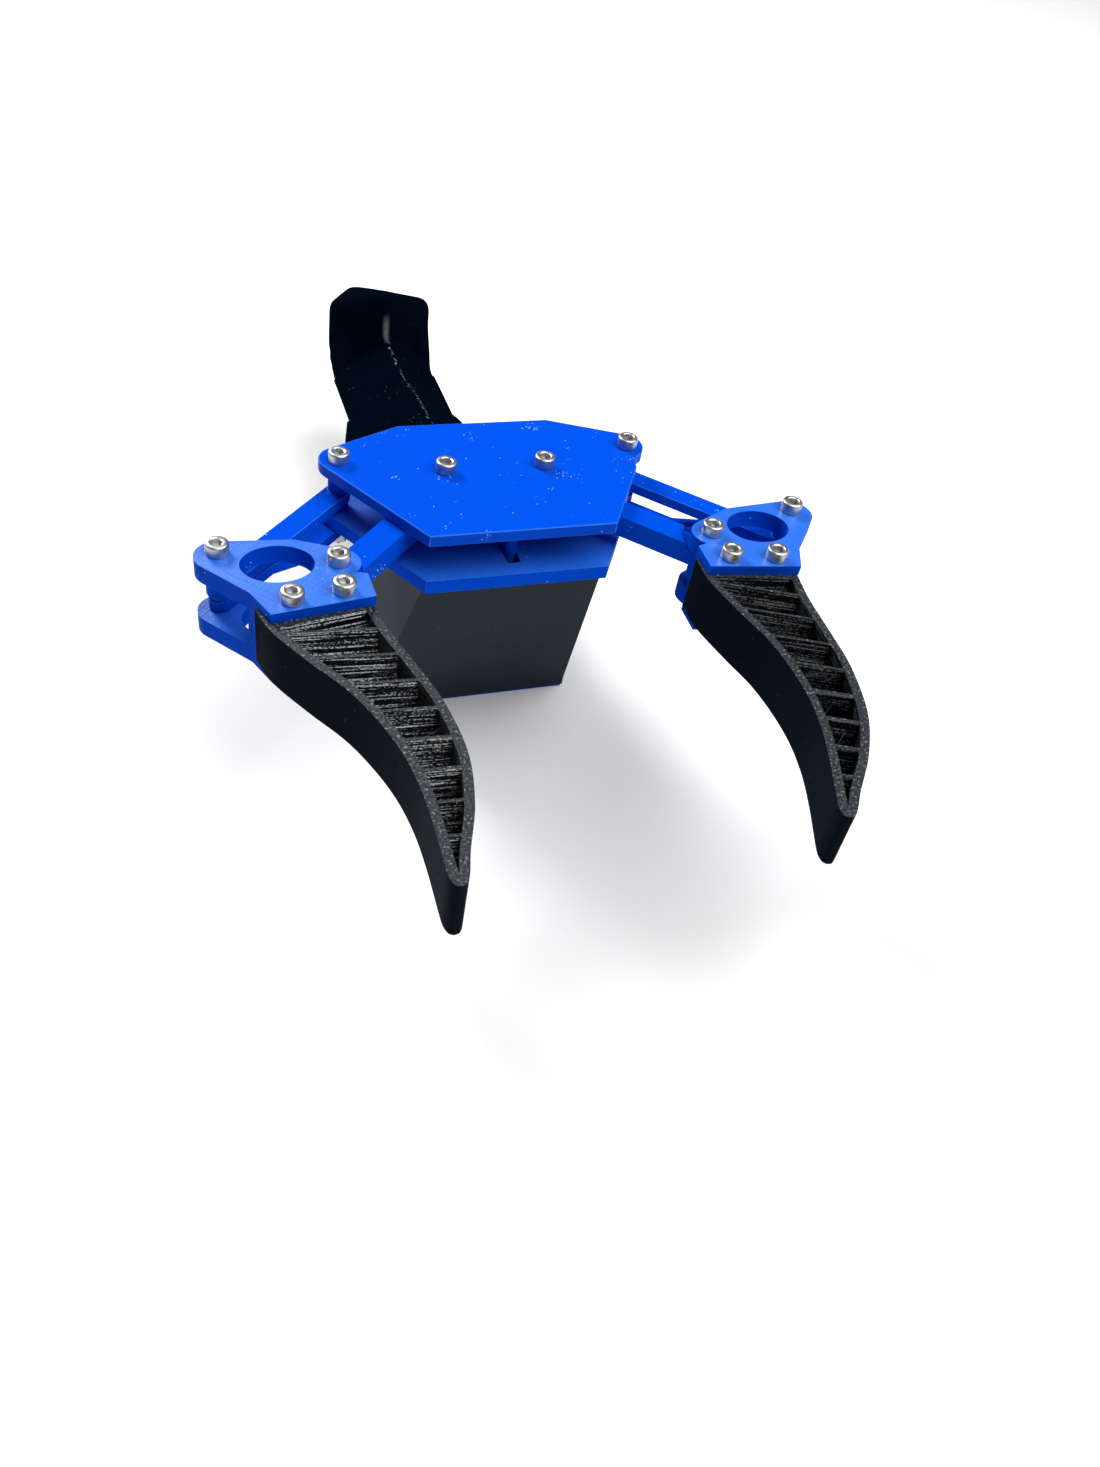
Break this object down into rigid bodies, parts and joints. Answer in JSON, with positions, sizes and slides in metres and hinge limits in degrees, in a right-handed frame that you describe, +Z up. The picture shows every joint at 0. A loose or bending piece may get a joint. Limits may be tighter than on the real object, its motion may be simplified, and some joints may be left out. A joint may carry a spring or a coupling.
{
  "type": "two-finger parallel gripper on a forearm",
  "caption": "Robot gripper with two ribbed fingers on parallel links, driven by a rack and a hydraulic cylinder that sits in the hollow forearm",
  "frame": {"origin": "the centre of the elbow's flat rear face, in the middle of its four bolt holes", "axes": "+Y points from the fingers back along the forearm and out of the elbow's bolted face, +Z points up out of the palm's top plate, +X points across the two fingers to the gripper's right as seen from above with the fingers at the bottom"},
  "size_m": [0.16, 0.2833, 0.0852],
  "materials": {
    "blue_plastic": "printed in layers, satin",
    "black_plastic": "printed in layers, satin",
    "screw_steel": "zinc-plated machine screws and nuts",
    "sleeve_brass": "turned sleeves",
    "barrel_plastic": "smooth translucent white",
    "seal_rubber": "smooth seal"
  },
  "bodies": {
    "palm": {"top_plate": "blue_plastic", "lower_plate": "blue_plastic", "plate_spacers": "blue_plastic", "spacer_screws": "screw_steel", "palm_screws": "screw_steel", "palm_nuts": "screw_steel", "palm_sleeves": "sleeve_brass", "housing": "black_plastic", "housing_screws": "screw_steel", "base_plate": "black_plastic", "base_cover": "blue_plastic", "base_screws": "screw_steel", "wrist_collar": "black_plastic", "collar_screws": "screw_steel", "collar_nuts": "screw_steel", "beam_screws": "screw_steel", "forearm_beam": "black_plastic", "elbow": "black_plastic", "elbow_screws": "screw_steel", "barrel_saddles": "blue_plastic", "cylinder_barrel": "barrel_plastic", "rod_gland": "blue_plastic", "cylinder_end_cap": "blue_plastic"},
    "ram": {"drive_rack": "blue_plastic", "guide_peg": "blue_plastic", "drive_post": "screw_steel", "crosshead": "blue_plastic", "piston_rod": "screw_steel", "piston": "blue_plastic", "piston_seal": "seal_rubber"},
    "left_inner_link": {"left_inner_link": "blue_plastic"},
    "left_outer_link": {"left_outer_link": "blue_plastic", "left_lower_link": "blue_plastic"},
    "right_inner_link": {"right_inner_link": "blue_plastic"},
    "right_outer_link": {"right_outer_link": "blue_plastic", "right_lower_link": "blue_plastic"},
    "left_jaw": {"left_bracket": "blue_plastic", "left_finger": "black_plastic", "left_jaw_screws": "screw_steel", "left_jaw_nuts": "screw_steel", "left_jaw_sleeve": "sleeve_brass"},
    "right_jaw": {"right_bracket": "blue_plastic", "right_finger": "black_plastic", "right_jaw_screws": "screw_steel", "right_jaw_nuts": "screw_steel", "right_jaw_sleeve": "sleeve_brass"}
  },
  "joints": [
    {"name": "left_grip", "type": "hinge", "parent": "palm", "child": "left_inner_link", "pos_m": [-0.0135, -0.154, 0.036], "axis": [0, 0, 1], "range_deg": [-15, 49]},
    {"name": "right_grip", "type": "hinge", "parent": "palm", "child": "right_inner_link", "pos_m": [0.0135, -0.154, 0.036], "axis": [0, 0, 1], "range_deg": [-49, 15]},
    {"name": "left_outer_pivot", "type": "hinge", "parent": "palm", "child": "left_outer_link", "pos_m": [-0.04, -0.147, 0.036], "axis": [0, 0, 1], "range_deg": [-15, 49]},
    {"name": "right_outer_pivot", "type": "hinge", "parent": "palm", "child": "right_outer_link", "pos_m": [0.04, -0.147, 0.036], "axis": [0, 0, 1], "range_deg": [-49, 15]},
    {"name": "left_jaw_pivot", "type": "hinge", "parent": "left_inner_link", "child": "left_jaw", "pos_m": [-0.04801, -0.18851, 0.036], "axis": [0, 0, 1], "range_deg": [-49, 15]},
    {"name": "right_jaw_pivot", "type": "hinge", "parent": "right_inner_link", "child": "right_jaw", "pos_m": [0.04801, -0.18851, 0.036], "axis": [0, 0, 1], "range_deg": [-15, 49]},
    {"name": "ram_slide", "type": "slide", "parent": "palm", "child": "ram", "axis": [0, 1, 0], "range_m": [-0.00236, 0.0077]}
  ],
  "couplings": [
    {"joint": "right_grip", "follows": "left_grip", "ratio": -1},
    {"joint": "left_outer_pivot", "follows": "left_grip", "ratio": 1},
    {"joint": "right_outer_pivot", "follows": "left_grip", "ratio": -1},
    {"joint": "left_jaw_pivot", "follows": "left_grip", "ratio": -1},
    {"joint": "right_jaw_pivot", "follows": "left_grip", "ratio": 1},
    {"joint": "ram_slide", "follows": "left_grip", "m_per_rad": 0.009}
  ]
}
